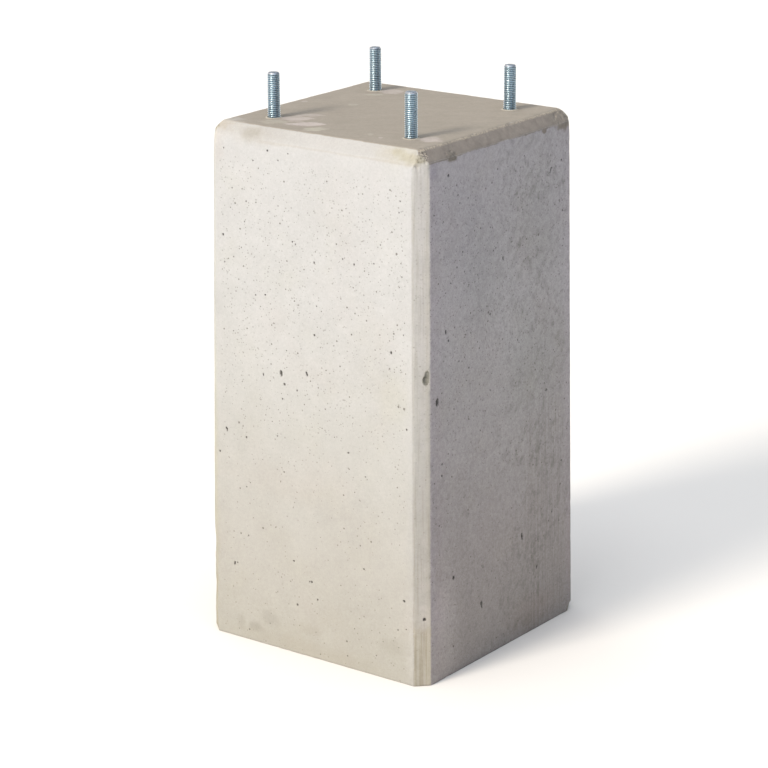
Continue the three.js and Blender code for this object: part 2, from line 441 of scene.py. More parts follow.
def cap(outline, holes, z, upward):
    """Triangles that fill an outline, with a grid of points inside and round holes left open."""
    grid = np.arange(-CAP_REACH, CAP_REACH + 1, CAP_STEP)
    inner = [(x, y) for x in grid for y in grid]
    if holes:
        inner = [p for p in inner if min(math.dist(p, axis) for axis in ROD_AXES) > CAP_CLEARANCE]
    flat = [*map(tuple, outline[:, :2]), *inner]
    edges = []
    for rim in holes:
        first = len(flat)
        flat += [*map(tuple, rim[:, :2])]
        edges += [(first + i, first + (i + 1) % len(rim)) for i in range(len(rim))]
    found = delaunay_2d_cdt([Vector(p) for p in flat], edges, [], 0, 1e-6)
    points = np.array([(p.x, p.y, z) for p in found[0]])
    triangles = np.array(found[2])
    if holes:
        on_rim = from_rods(points) < SOCKET_RADIUS + 0.01
        triangles = triangles[~on_rim[triangles].all(axis=1)]
    a, b, c = (points[triangles[:, i], :2] for i in range(3))
    ab, ac = b - a, c - a
    area = ab[:, 0] * ac[:, 1] - ab[:, 1] * ac[:, 0]
    wrong = (area < 0) if upward else (area > 0)
    triangles[wrong] = triangles[wrong][:, ::-1]
    return points, triangles


def weld(parts):
    """Joins (points, triangles) pairs, merges what coincides and drops what has no area."""
    firsts = np.cumsum([0, *(len(points) for points, _ in parts)])
    triangles = np.vstack([rows + first for (_, rows), first in zip(parts, firsts)])
    points = np.vstack([points for points, _ in parts])
    _, kept, moved = np.unique(np.round(points, 3), axis=0, return_index=True, return_inverse=True)
    triangles = moved.reshape(-1)[triangles]
    a, b, c = triangles.T
    return points[kept], triangles[(a != b) & (b != c) & (c != a)]


def plain_block():
    """Coarse closed mesh of the plain block with its four sockets."""
    levels = [*np.linspace(0, FOOT, STOREYS + 1), FOOT + CHAMFER / 2, HEIGHT]
    rings = [ring(z) for z in levels]
    rims = [circle(x, y, SOCKET_RADIUS, HEIGHT) for x, y in ROD_AXES]
    sockets = []
    for (x, y), rim in zip(ROD_AXES, rims):
        floor, centre = (circle(x, y, radius, SOCKET_FOOT) for radius in (SOCKET_RADIUS, 0))
        sockets.append(tube([rim, floor, centre]))
    top = cap(rings[-1], rims, HEIGHT, upward=True)
    bottom = cap(rings[0], [], 0, upward=False)
    return weld([tube(rings), top, bottom, *sockets])


def in_socket(points):
    return (from_rods(points) < SOCKET_RADIUS + 0.05) & (points[:, 2] < HEIGHT - 0.05)


def wanted_size(points, sizes):
    """How long a triangle's edge may be at each point."""
    heights = heights_over_faces(points)
    face = heights.argmax(axis=1)
    to_edge = -np.partition(heights, -2, axis=1)[:, -2]
    x, y, z = points.T
    hidden = (x - y) < -5  # the rear sides and chamfers
    fine = np.where(hidden, HIDDEN_EDGE_SIZE, EDGE_SIZE)
    wanted = fine + COARSER * np.maximum(0, to_edge - 1.0)
    wanted = np.minimum(wanted, np.where(face == TOP, TOP_SIZE, FLAT_SIZE))
    on_bevel = (face >= FIRST_BEVEL) & (face < TOP)
    wanted = np.where(on_bevel, np.minimum(wanted, 1.15 * fine), wanted)
    collar = 1.1 + COARSER * np.maximum(0, from_rods(points) - SOCKET_RADIUS - 2.5)
    wanted = np.where(face == TOP, np.minimum(wanted, collar), wanted)
    for centre, half_sizes in LUMPS:
        out = np.linalg.norm((points - centre) / half_sizes, axis=1)
        beyond = np.maximum(0, out - 1.1) * half_sizes.min()
        wanted = np.minimum(wanted, BREAK_SIZE + COARSER * beyond)
    for centre, reach in CRUMBLY_PLACES:
        beyond = np.maximum(0, np.linalg.norm(points - centre, axis=1) - reach)
        wanted = np.minimum(wanted, CRUMB_SIZE + COARSER * beyond)
    for number in HOLED_FACES:
        on = np.flatnonzero(face == number)
        u = np.clip(across_face(points[on], number) + BASE_HALF, 0, sizes.shape[1] - 1).astype(int)
        up = np.clip(z[on], 0, sizes.shape[2] - 1).astype(int)
        wanted[on] = np.minimum(wanted[on], sizes[number, u, up])
    wanted[face == BOTTOM] = np.maximum(wanted[face == BOTTOM], UNDERSIDE_SIZE)
    wanted[in_socket(points)] = SOCKET_SIZE
    return wanted


def refine(points, triangles, rounds=26):
    """Halves the longest edges until every triangle is as small as is wanted where it lies."""
    sizes = hole_sizes()
    for _ in range(rounds):
        corners = points[triangles]
        lengths = np.linalg.norm(corners - np.roll(corners, -1, axis=1), axis=2)
        longest = lengths.argmax(axis=1)
        turned = (longest[:, None] + np.arange(3)) % 3
        triangles = np.take_along_axis(triangles, turned, axis=1)
        starts, ends = triangles, np.roll(triangles, -1, axis=1)
        pairs = np.sort(np.stack((starts, ends), axis=2), axis=2).reshape(-1, 2)
        keys = pairs[:, 0] * len(points) + pairs[:, 1]
        _, first, edge = np.unique(keys, return_index=True, return_inverse=True)
        edge = edge.reshape(-1, 3)
        middles = points[pairs[first]].mean(axis=1)
        long_edges = edge[:, 0]
        too_long = lengths.max(axis=1) > wanted_size(middles, sizes)[long_edges]
        if not too_long.any():
            break
        split = np.zeros(len(first), bool)
        split[long_edges[too_long]] = True
        while True:
            touched = split[edge].any(axis=1) & ~split[long_edges]
            if not touched.any():
                break
            split[long_edges[touched]] = True
        new_index = np.full(len(first), -1)
        new_index[split] = len(points) + np.arange(split.sum())
        points = np.vstack((points, middles[split]))
        a, b, c = triangles.T
        m0, m1, m2 = new_index[edge].T
        has0, has1, has2 = m0 >= 0, m1 >= 0, m2 >= 0
        pieces = [triangles[~has0]]
        for at, rows in (
            (has0 & ~has2, (a, m0, c)),
            (has0 & has2, (a, m0, m2)),
            (has0 & has2, (m2, m0, c)),
            (has0 & ~has1, (m0, b, c)),
            (has0 & has1, (m0, b, m1)),
            (has0 & has1, (m0, m1, c)),
        ):
            pieces.append(np.column_stack(rows)[at])
        triangles = np.vstack(pieces)
    return points, triangles


def drawn_to_surface(points):
    """Moves the plain block's points onto the implicit form; the sockets stay as they are."""
    moved = points.copy()
    upward = np.ones(len(points))
    free = ~in_socket(points)
    place = points[free]
    for _ in range(DRAWING_ROUNDS):
        height, gradient = surface(place)
        length = np.maximum(0.2, (gradient**2).sum(axis=1))
        move = np.clip(height / length, -FARTHEST_MOVE, FARTHEST_MOVE)
        place = place - gradient * move[:, None]
    moved[free] = place
    upward[free] = gradient[:, 2] / np.linalg.norm(gradient, axis=1)
    return moved, upward


def masks(plain, points, upward):
    """What the material needs to know of each point: the kind of face, how much it faces up, holes
    and breaks; how much it faces up and how deep the holes are serve for painted shade.
    """
    face = heights_over_faces(plain).argmax(axis=1)
    zone = np.zeros((len(points), 4))
    # How much the surface faces up, 1 on the bevels and the top: the material paints shade by it
    zone[:, 1] = np.clip(upward * math.sqrt(2), 0, 1)
    zone[:, 2] = (face >= FIRST_CHAMFER) & (face < FIRST_BEVEL)
    for centre, half_sizes in LUMPS:
        out = np.linalg.norm((points - centre) / half_sizes, axis=1)
        zone[:, 3] = np.maximum(zone[:, 3], 1 - step(out, 1.06, 1.16))
    # Red: how deep the air holes are, by which the material paints shade into them; green, blue and
    # alpha: the +X side, the -Y side, and the +X and rear-left bevels
    wear = np.zeros((len(points), 4))
    for number in HOLED_FACES:
        on = face == number
        wear[on, 0] = np.clip(hole_depth(points[on], number) / 0.8, 0, 1)
    wear[:, 1] = face == RIGHT
    wear[:, 2] = face == LEFT
    wear[:, 3] = (face == RIGHT_BEVEL) | (face == FIRST_BEVEL + REAR_LEFT)
    return {"zone": zone, "wear": wear}


def add_mesh(name, points, triangles, colours=None):
    mesh = bpy.data.meshes.new(name)
    mesh.from_pydata((points * MM).tolist(), [], triangles.tolist())
    for label, values in (colours or {}).items():
        layer = mesh.color_attributes.new(label, "FLOAT_COLOR", "POINT")
        layer.data.foreach_set("color", values.astype(np.float32).ravel())
    mesh.shade_smooth()
    mesh.update()
    piece = bpy.data.objects.new(name, mesh)
    bpy.context.scene.collection.objects.link(piece)
    return piece


def concrete_block():
    plain, triangles = refine(*plain_block())
    points, upward = drawn_to_surface(plain)
    return add_mesh("cast_concrete_block", points, triangles, masks(plain, points, upward))


# Rods

THREAD_RUN_BELOW_TOP = 3.0
TIP_RADIUS = ROD_RADIUS - ROD_END_CHAMFER
# One pitch of the thread, from crest to crest: share of the pitch, share of the thread's height
THREAD_PROFILE = np.array((
    (0, 0), (0.125, 0), (0.3, 0.42), (0.48, 0.9), (0.5625, 1), (0.645, 0.9), (0.825, 0.42),
))


def threaded_rod_mesh():
    """A helical thread whose rows follow the helix, level at both ends, on a plain hidden bar."""
    thread_foot = HEIGHT - THREAD_RUN_BELOW_TOP
    shank_radius = ROD_RADIUS - THREAD_HEIGHT / 2
    per_turn = len(THREAD_PROFILE)
    rows = (math.ceil((ROD_TIP - thread_foot) / THREAD_PITCH) + 3) * per_turn
    turn, place = np.divmod(np.arange(rows + per_turn + 1), per_turn)
    shares, depths = THREAD_PROFILE[place].T
    angle = np.arange(SEGMENTS) / SEGMENTS
    start = thread_foot - 2 * THREAD_PITCH
    z = start + (turn + shares)[:, None] * THREAD_PITCH + angle * THREAD_PITCH
    radius = np.repeat((ROD_RADIUS - depths * THREAD_HEIGHT)[:, None], SEGMENTS, axis=1)
    radius = np.minimum(radius, TIP_RADIUS + np.maximum(0, ROD_TIP - z))
    radius = np.where(z <= thread_foot, shank_radius, radius)
    z = np.clip(z, thread_foot, ROD_TIP)
    turned = 2 * math.pi * angle
    points = np.stack((radius * np.cos(turned), radius * np.sin(turned), z), axis=2).reshape(-1, 3)
    j, i = np.divmod(np.arange(rows * SEGMENTS), SEGMENTS)
    k = (i + 1) % SEGMENTS
    a, b = j * SEGMENTS + i, (j + per_turn * (k == 0)) * SEGMENTS + k
    lower = np.column_stack((a, b, b + SEGMENTS))
    upper = np.column_stack((a, b + SEGMENTS, a + SEGMENTS))
    triangles = np.vstack((lower, upper))
    triangles = triangles[triangles.max(axis=1) < len(points)]
    bar = ((0, ROD_FOOT), (shank_radius, ROD_FOOT), (shank_radius, thread_foot))
    tip = ((TIP_RADIUS, ROD_TIP), (0.55 * TIP_RADIUS, ROD_TIP), (0, ROD_TIP))
    ends = [tube([circle(0, 0, radius, z) for radius, z in profile]) for profile in (bar, tip)]
    return weld([(points, triangles), *ends])


def crest_mask(points):
    """Red is 1 on the thread's crests and 0 in its roots, and the material paints shade into the
    roots by it; blue is 1 on the flat tip.
    """
    out = np.hypot(points[:, 0], points[:, 1])
    values = np.zeros((len(points), 4))
    values[:, 0] = np.clip((out - ROD_RADIUS + THREAD_HEIGHT) / THREAD_HEIGHT, 0, 1)
    values[:, 2] = points[:, 2] > ROD_TIP - 0.9 * ROD_END_CHAMFER
    return values


def threaded_rods():
    points, triangles = threaded_rod_mesh()
    rods = []
    for index, (name, (x, y)) in enumerate(zip(ROD_NAMES, ROD_AXES)):
        turn = np.array(Matrix.Rotation(1.9 * index, 3, "Z"))
        placed = points @ turn.T + (x, y, 0)
        rods.append(add_mesh("zinc_rod_" + name, placed, triangles, {"thread": crest_mask(points)}))
    return rods


# Materials

def feed(slot, value):
    """Gives a node's input a field, another node's output, a number, a vector or a colour."""
    if isinstance(value, Field):
        value = value.socket
    if isinstance(value, bpy.types.NodeSocket):
        slot.id_data.links.new(value, slot)
    elif isinstance(value, (int, float)) or slot.type == "VECTOR":
        slot.default_value = value
    else:
        slot.default_value = (*value, 1)


class Field:
    """A number that varies over the surface. Sums and products of fields are Math nodes."""

    def __init__(self, socket):
        self.socket = socket

    def math(self, operation, *values):
        node = self.socket.id_data.nodes.new("ShaderNodeMath")
        node.operation = operation
        for slot, value in zip(node.inputs, values):
            feed(slot, value)
        return Field(node.outputs[0])

    def __add__(self, other):
        return self.math("ADD", self, other)

    def __sub__(self, other):
        return self.math("SUBTRACT", self, other)

    def __rsub__(self, other):
        return self.math("SUBTRACT", other, self)

    def __mul__(self, other):
        return self.math("MULTIPLY", self, other)

    __radd__, __rmul__ = __add__, __mul__

    def larger(self, other):
        return self.math("MAXIMUM", self, other)

    def absolute(self):
        return self.math("ABSOLUTE", self)

    def root(self):
        return self.math("SQRT", self)

    def fraction(self):
        return self.math("FRACT", self)

    def step(self, low, high):
        """Goes smoothly from 0 at low to 1 at high; either may be a field."""
        node = self.socket.id_data.nodes.new("ShaderNodeMapRange")
        node.interpolation_type = "SMOOTHSTEP"
        for label, value in (("Value", self), ("From Min", low), ("From Max", high)):
            feed(node.inputs[label], value)
        return Field(node.outputs["Result"])


def srgb(red, green, blue):
    """A colour given as it looks on a screen, 0 to 255, as the shader's linear one."""
    shares = [v / 255 for v in (red, green, blue)]
    return [s / 12.92 if s <= 0.04045 else ((s + 0.055) / 1.055) ** 2.4 for s in shares]


# How far each seed moves its noise and its specks, so that no two patterns are alike
NOISE_SHIFT = (13.7, 7.1, 3.3)
SPECK_SHIFT = (5.3, 9.9, 2.7)


class Nodes:
    """A node tree under construction."""

    def __init__(self, tree):
        self.tree = tree

    def node(self, kind, *values, **settings):
        """A new node with its settings and the values of its first inputs."""
        node = self.tree.nodes.new(kind)
        for label, setting in settings.items():
            setattr(node, label, setting)
        for slot, value in zip(node.inputs, values):
            feed(slot, value)
        return node

    def channels(self, kind, socket):
        """A vector's or a colour's three numbers."""
        return [Field(output) for output in self.node(kind, socket).outputs]

    def mix(self, share, one, other, blend="MIX"):
        """Colours one and other, each a socket or three numbers, mixed by a share."""
        node = self.node("ShaderNodeMix", data_type="RGBA", blend_type=blend, clamp_factor=True)
        for index, value in ((0, share), (6, one), (7, other)):
            feed(node.inputs[index], value)
        return node.outputs[2]

    def ramp(self, value, stops):
        """Colour by a field, from (place, colour) stops."""
        node = self.node("ShaderNodeValToRGB", value)
        elements = node.color_ramp.elements
        while len(elements) < len(stops):
            elements.new(0.5)
        for element, (place, colour) in zip(elements, stops):
            element.position = place
            element.color = (*colour, 1)
        return node.outputs[0]


class Surface(Nodes):
    """A material under construction, with places in millimetres."""

    def __init__(self, name):
        self.material = bpy.data.materials.new(name)
        self.material.use_nodes = True
        super().__init__(self.material.node_tree)
        self.shader = self.tree.nodes["Principled BSDF"]
        where = self.node("ShaderNodeTexCoord").outputs["Object"]
        self.place = self.vector("MULTIPLY", where, (1 / MM,) * 3)
        self.x, self.y, self.z = self.channels("ShaderNodeSeparateXYZ", self.place)

    def vector(self, operation, socket, value):
        return self.node("ShaderNodeVectorMath", socket, value, operation=operation).outputs[0]

    def local(self, middle, sizes, turns=(0, 0, 0)):
        """Place measured from a middle in units of the sizes, in a frame turned by degrees.

        Only a turn needs a Mapping node, and too many of those turn the render black.
        """
        if not any(turns):
            return self.vector("DIVIDE", self.vector("SUBTRACT", self.place, middle), sizes)
        turns = [math.radians(turn) for turn in turns]
        mapping = self.node("ShaderNodeMapping", vector_type="TEXTURE")
        for slot, value in zip(mapping.inputs, (self.place, middle, turns, sizes)):
            feed(slot, value)
        return mapping.outputs[0]

    def noise(self, size, detail=2.0, seed=0, turns=(0, 0, 0)):
        """Soft noise of about -1 to 1, with blobs of the given size in mm, a number or three."""
        sizes = size if isinstance(size, tuple) else (size,) * 3
        return self.noise_at(self.local((0, 0, 0), sizes, turns), detail, seed)

    def noise_at(self, place, detail, seed):
        shifted = self.vector("ADD", place, [seed * shift for shift in NOISE_SHIFT])
        node = self.node("ShaderNodeTexNoise", shifted)
        for label, value in (("Scale", 1), ("Detail", detail), ("Roughness", 0.55)):
            feed(node.inputs[label], value)
        return (Field(node.outputs["Fac"]) - 0.5) * 2.6

    def specks(self, cell, radius, share, seed=0):
        """Small round spots, about one in each cell that holds one; share may be a field."""
        scaled = self.vector("MULTIPLY", self.place, (1 / cell,) * 3)
        shifted = self.vector("ADD", scaled, [seed * shift for shift in SPECK_SHIFT])
        node = self.node("ShaderNodeTexVoronoi", shifted)
        feed(node.inputs["Scale"], 1)
        red, green, blue = self.channels("ShaderNodeSeparateColor", node.outputs["Color"])
        chance = (red * 17.3 + green * 9.1 + blue * 23.7).fraction()
        girth = (red * 31.7 + green * 12.9 + blue * 8.3).fraction()
        reach = (girth * girth * 0.8 + 0.35) * (radius / cell)
        spot = 1 - Field(node.outputs["Distance"]).step(reach * 0.55, reach)
        there = 1 - chance.step(share, share + 0.02)
        return spot * there

    def attribute(self, name):
        """The red, green, blue and alpha of a mesh attribute."""
        node = self.node("ShaderNodeAttribute", attribute_name=name)
        colour = self.channels("ShaderNodeSeparateColor", node.outputs["Color"])
        return [*colour, Field(node.outputs["Alpha"])]

    def scaled(self, colour, factor):
        """A colour made lighter or darker by a field."""
        node = self.node("ShaderNodeVectorMath", colour, operation="SCALE")
        feed(node.inputs["Scale"], factor)
        return node.outputs[0]

    def patch(self, middle, half_sizes, wobble, turns=(0, 0, 0), soft=0.5):
        """1 inside an ellipsoid, 0 outside it, with an outline made ragged by a wobble field."""
        place = self.local(middle, half_sizes, turns)
        node = self.node("ShaderNodeVectorMath", place, operation="LENGTH")
        out = Field(node.outputs["Value"]) + wobble
        return 1 - out.step(1 - soft, 1 + soft)

    def tinted(self, share, colour, tint):
        """A colour with part of it multiplied by a tint."""
        return self.mix(share, colour, self.mix(1.0, colour, tint, "MULTIPLY"))

    def finish(self, colour, roughness, height_mm=None):
        feed(self.shader.inputs["Base Color"], colour)
        feed(self.shader.inputs["Roughness"], roughness)
        if height_mm is not None:
            bump = self.node("ShaderNodeBump")
            feed(bump.inputs["Distance"], MM)
            feed(bump.inputs["Height"], height_mm)
            feed(self.shader.inputs["Normal"], bump.outputs[0])
        return self.material


# How strongly and in what tint the lamps light each kind of face, against the surface's own colour
LIGHT_ON_SIDE = (1.80, 1.735, 1.62)
LIGHT_ON_TOP = (1.56, 1.6, 1.61)
# Painted shade, darker and lilac, put into the colour of the shaded +X side
PAINTED_SHADE_ON_SHADED_SIDE = (0.905, 0.87, 0.905)
# Painted light put into the colour of the chamfers
PAINTED_LIGHT_ON_CHAMFERS = (1.055, 1.04, 0.995)


def own(red, green, blue, light=LIGHT_ON_SIDE):
    """The concrete's own colour where it looks like this on a screen under that light."""
    return [v / lit for v, lit in zip(srgb(red, green, blue), light)]


# Thin films on the top, wiped along the picture's horizontal:
# middle across and along, half length, half width, strength, colour
WIPE_TURN = 36.6
PINK, GREEN = (211, 200, 194), (203, 198, 183)
TOP_FILMS = (
    (-59, -71, 15, 11, 0.75, PINK),
    (-57, -50, 12, 6, 0.5, PINK),
    (-36, -84, 17, 8, 1.0, PINK),
    (-15, -97, 11, 7, 0.8, GREEN),
    (-66, -92, 12, 9, 0.5, GREEN),
    (-66, 61, 9, 4, 0.6, GREEN),
    (-62, 83, 11, 11, 0.7, PINK),
    (96, -73, 9, 11, 0.85, PINK),
    (-101, -3, 3, 3, 0.5, PINK),
    (-55, 11, 5, 5, 0.45, GREEN),
    (39, -86, 3, 4, 0.45, GREEN),
    (55, -92, 2, 3, 0.6, PINK),
)

# Soft stains and tints of the skin, and painted shade low on the front chamfer: middle, half sizes,
# strength and tint
STAINS_AND_PAINTED_SHADE = (
    ((-50, -127, 28), (9, 20, 7), 0.9, (0.88, 0.88, 0.87)),
    ((-69, -127, 15), (8, 20, 4), 1.0, (0.86, 0.86, 0.84)),
    ((-86, -127, 17), (4, 20, 7), 0.9, (0.89, 0.89, 0.87)),
    ((-3, -127, 27), (14, 20, 5), 0.8, (0.93, 0.925, 0.9)),
    ((92, -127, 33), (14, 20, 7), 0.9, (0.91, 0.91, 0.89)),
    ((-10, -127, 7), (80, 20, 8), 0.7, (0.95, 0.935, 0.9)),
    ((-26, -127, 167), (48, 20, 15), 0.5, (1.0, 0.975, 0.96)),
    ((93, -126, 272), (16, 20, 22), 0.6, (0.99, 0.99, 0.93)),
    ((-118, -127, 150), (5, 20, 130), 0.8, (0.98, 0.965, 0.88)),
    ((-110, -125, 478), (7, 20, 16), 0.7, (0.99, 0.955, 0.93)),
    ((-72, -118, 493), (10, 20, 5), 1.0, (0.87, 0.86, 0.82)),
    ((-68, -118, 494), (26, 20, 9), 0.8, (0.93, 0.91, 0.88)),
    ((98, -118, 495), (24, 12, 8), 1.0, (0.97, 0.945, 0.86)),
    ((108, -118, 492), (10, 8, 4), 0.8, (0.9, 0.88, 0.78)),
    ((92, -118, 496), (8, 8, 3), 0.8, (0.92, 0.91, 0.82)),
    # painted shade: the front chamfer darker and cooler low down
    ((121, -121, 90), (11, 11, 170), 0.9, (0.93, 0.955, 0.98)),
    ((130, -36, 307), (20, 28, 26), 0.4, (1.04, 1.03, 1.04)),
    ((130, 4, 312), (20, 20, 40), 0.4, (1.05, 1.05, 1.06)),
    ((130, -39, 372), (20, 24, 60), 0.6, (0.91, 0.92, 0.92)),
    ((130, -60, 430), (20, 34, 40), 0.5, (0.93, 0.94, 0.95)),
    ((130, 62, 400), (20, 26, 60), 0.6, (0.92, 0.93, 0.91)),
    ((130, 43, 268), (20, 34, 40), 0.6, (0.92, 0.94, 0.92)),
    ((130, -112, 250), (20, 14, 300), 0.6, (1.0, 0.96, 1.0)),
    ((130, 20, 330), (20, 75, 170), 0.7, (0.985, 0.995, 0.97)),
    ((130, -106, 481), (10, 9, 8), 0.8, (0.8, 0.8, 0.84)),
    ((130, 113, 250), (20, 8, 300), 0.7, (1.05, 1.02, 1.07)),
    ((130, 48, 19), (20, 40, 16), 0.6, (0.99, 0.93, 0.9)),
    ((130, -106, 40), (20, 26, 70), 0.9, (1.25, 1.25, 1.28)),
    ((130, 0, 70), (20, 200, 170), 0.8, (1.06, 1.04, 1.05)),
    ((130, 0, 490), (20, 200, 120), 0.8, (0.94, 0.94, 0.96)),
)


def concrete_material():
    s = Surface("cast_concrete")
    # bevel is how much the surface faces up; below, it paints shade and keeps specks away
    _, bevel, chamfer, broken = s.attribute("zone")
    # The first is how deep the air holes are, used for the painted shade in them
    pore_shade, right, left, right_bevel = s.attribute("wear")
    clouds = s.noise(75, 3, 1)
    mottle = s.noise(16, 4, 2)
    grain = s.noise(1.5, 2, 3)
    crumbs = s.noise(3.2, 3, 4)
    ragged = s.noise(7, 4, 18) * 0.5
    corner = s.patch((-120, -112, HEIGHT), (24, 15, 12), ragged, soft=0.5)
    top = (s.z + s.noise(9, 2, 5) * 0.35).step(HEIGHT - 1.1, HEIGHT - 0.5) * (1 - corner)

    # Sides: cream above, browner and yellower towards the bottom
    level = (s.z + clouds * 38) * (1 / HEIGHT)
    side = s.ramp(level, (
        (0.04, own(207, 199, 184)),
        (0.2, own(213, 205, 192)),
        (0.45, own(224, 218, 208)),
        (0.7, own(231, 226, 219)),
        (0.98, own(234, 229, 223)),
    ))
    side = s.tinted(s.noise(48, 3, 6).step(-0.1, 0.8) * 0.6, side, (0.985, 0.98, 0.94))
    side = s.tinted(s.noise(60, 3, 7).step(-0.1, 0.8) * 0.6, side, (0.995, 0.97, 0.96))
    # Painted shade on the shaded +X side and painted light on the chamfers
    side = s.tinted(right, side, PAINTED_SHADE_ON_SHADED_SIDE)
    side = s.tinted(chamfer, side, PAINTED_LIGHT_ON_CHAMFERS)
    # Painted shade: what faces up, the bevels most, is darkened and browned against the extra light
    # it catches from above
    side = s.tinted(bevel, side, (0.85, 0.825, 0.79))
    # Painted shade: the worn top corner's upward-facing surface darkened and warmed against the
    # bluish light from overhead
    side = s.tinted(corner * bevel.step(0.8, 1.0), side, (0.94, 0.9, 0.83))
    # Painted shade: the rounded edge at the foot of the sunlit bevel, which catches the most light,
    # darkened a little
    foot_edge_painted_shade = bevel.step(0.1, 0.35) * (1 - bevel.step(0.45, 0.8)) * s.x.step(-75, -50)
    side = s.tinted(foot_edge_painted_shade * left * (s.z + mottle * 3).step(484, 487), side, (0.95, 0.93, 0.9))
    for middle, half_sizes, strength, tint in STAINS_AND_PAINTED_SHADE:
        # Stains and tints, and the painted shade on the front chamfer
        stain_and_painted_shade = s.patch(middle, half_sizes, ragged, soft=0.7)
        side = s.tinted(stain_and_painted_shade * strength, side, tint)

    # Chamfers: fine streaks down them, brown at the foot
    drawn = s.noise((1.8, 1.8, 80), 3, 8)
    side = s.tinted(chamfer * drawn.step(-0.1, 0.5), side, (0.9, 0.885, 0.86))
    across_chamfer = (s.x + s.y) * math.sqrt(0.5)
    side = s.tinted(chamfer * across_chamfer.step(1, 5), side, (0.985, 0.985, 0.95))
    seam = 1 - (across_chamfer + CHAMFER * math.sqrt(0.5)).absolute().step(0.35, 1.0)
    side = s.tinted(seam * (mottle + 0.6) * (1 - s.z.step(474, 480)), side, (0.86, 0.84, 0.81))
    foot = chamfer * (s.z + drawn * 7).step(60, 53)
    side = s.tinted(foot, side, (0.96, 0.935, 0.88))
    side = s.tinted(foot * drawn.step(-0.3, 0.4) * 0.8, side, (0.9, 0.89, 0.86))

    # Top: darker and browner, faintly wiped, with pale films and rings of cement round the rods
    wiped = s.noise((70, 12, 70), 3, 9, (0, 0, WIPE_TURN))
    face = s.ramp(wiped * 0.4 + 0.5, (
        (0.1, own(172, 164, 151, LIGHT_ON_TOP)),
        (0.9, own(181, 172, 160, LIGHT_ON_TOP)),
    ))
    rubbed = s.noise((26, 7, 26), 3, 23, (0, 0, WIPE_TURN))
    face = s.tinted(rubbed.step(-0.2, 0.9), face, (0.95, 0.95, 0.95))
    streaks = s.noise((18, 3, 18), 3, 10, (0, 0, WIPE_TURN)).step(-0.9, 0.2)
    brushed = s.noise((9, 4, 9), 3, 19, (0, 0, WIPE_TURN)) * 0.75
    for across, along, half_length, half_width, strength, look in TOP_FILMS:
        half_sizes = (half_length, half_width, 30)
        film = s.patch((across, along, HEIGHT), half_sizes, brushed, (0, 0, WIPE_TURN), soft=0.2)
        face = s.mix(film * streaks * strength, face, own(*look, LIGHT_ON_TOP))
    rod_place = abs(ROD_AXES[0][0])
    across = s.x.absolute() - rod_place
    along = s.y.absolute() - rod_place
    near_rod = (across * across + along * along).root() + crumbs * 0.6
    face = s.mix((1 - near_rod.step(7.4, 8.6)) * 0.75, face, own(206, 200, 186, LIGHT_ON_TOP))

    # Shaded bevel: the top's skin runs over it and a little down the side, darker and crumbly
    bevel_skin = s.ramp(s.noise(7, 4, 11) * 0.45 + 0.5, (
        (0.1, own(150, 141, 133, LIGHT_ON_TOP)),
        (0.5, own(161, 153, 145, LIGHT_ON_TOP)),
        (0.9, own(170, 162, 153, LIGHT_ON_TOP)),
    ))
    rear_end = (s.y + crumbs * 6).step(78, 96)
    bevel_skin = s.tinted(rear_end * crumbs.step(-0.7, 0.5) * 0.9, bevel_skin, (0.9, 0.92, 0.88))
    dark_spot = s.patch((122, -77, 488.5), (9, 8, 4), ragged, soft=0.4)
    bevel_skin = s.tinted(dark_spot * crumbs.step(-0.6, 0.5), bevel_skin, (0.62, 0.63, 0.58))
    pitted = s.noise(1.7, 2, 20)
    ridge = s.patch((117, -112.5, 495.5), (9, 3.8, 8), ragged * 0.8, (0, 0, -45), soft=0.3)
    bevel_skin = s.mix(ridge * pitted.step(0.0, 0.4), bevel_skin, own(205, 196, 180, LIGHT_ON_TOP))
    bevel_skin = s.tinted(ridge * pitted.step(0.1, -0.4), bevel_skin, (0.45, 0.45, 0.42))
    rim = (s.z + pitted * 0.9).step(HEIGHT - 2.6, HEIGHT - 1.5)
    bevel_skin = s.mix(rim * pitted.step(-0.4, 0.2), bevel_skin, own(200, 190, 172, LIGHT_ON_TOP))
    line = s.z + s.noise(11, 4, 12) * 1.3 + s.noise(50, 1, 13) * 0.9
    drip = s.patch((125, 69, 487), (12, 4, 3), ragged * 0.6, soft=0.3)
    fray = s.patch((122, 103, 488), (12, 15, 6), ragged * 1.5, soft=0.5)
    low_line = line.step(FOOT - 1.4, FOOT - 0.4).larger(drip).larger(dark_spot).larger(fray)
    shaded = right.larger(right_bevel)
    skin = shaded * low_line
    colour = s.mix(skin, side, bevel_skin)
    colour = s.mix(top, colour, face)

    # Mottling, strongest on the shaded side where it runs aslant
    aslant = s.noise((20, 8, 14), 5, 14, (-35, 0, 0))
    far_half = (s.y + clouds * 20).step(-40, 30)
    blots = aslant.step(-0.15, 0.55) * (far_half * 0.7 + 0.3) * s.noise(60, 2, 15).step(-0.5, 0.3)
    colour = s.tinted(right * (1 - skin) * blots * 0.8, colour, (0.78, 0.8, 0.76))
    spots = s.noise((8, 7, 9), 5, 21).step(-0.1, 0.7) * s.noise(45, 2, 22).step(-0.7, 0.3)
    spots = spots * (far_half * 0.5 + 0.5)
    colour = s.tinted(right * (1 - skin) * spots, colour, (0.71, 0.72, 0.69))
    drips = s.noise((30, 2.0, 90), 3, 16).step(-0.2, 0.4)
    wet = right * (s.y).step(25, 50) * (1 - s.y.step(95, 108)) * (1 - s.z.step(200, 270))
    colour = s.tinted(wet * drips, colour, (0.87, 0.865, 0.85))
    coarse = crumbs * (0.06 + right * 0.12 + top * 0.03) + chamfer * mottle * 0.06
    shade = 1 + clouds * 0.04 + mottle * 0.05 + grain * (0.08 + right * 0.13) + coarse
    colour = s.scaled(colour, shade)

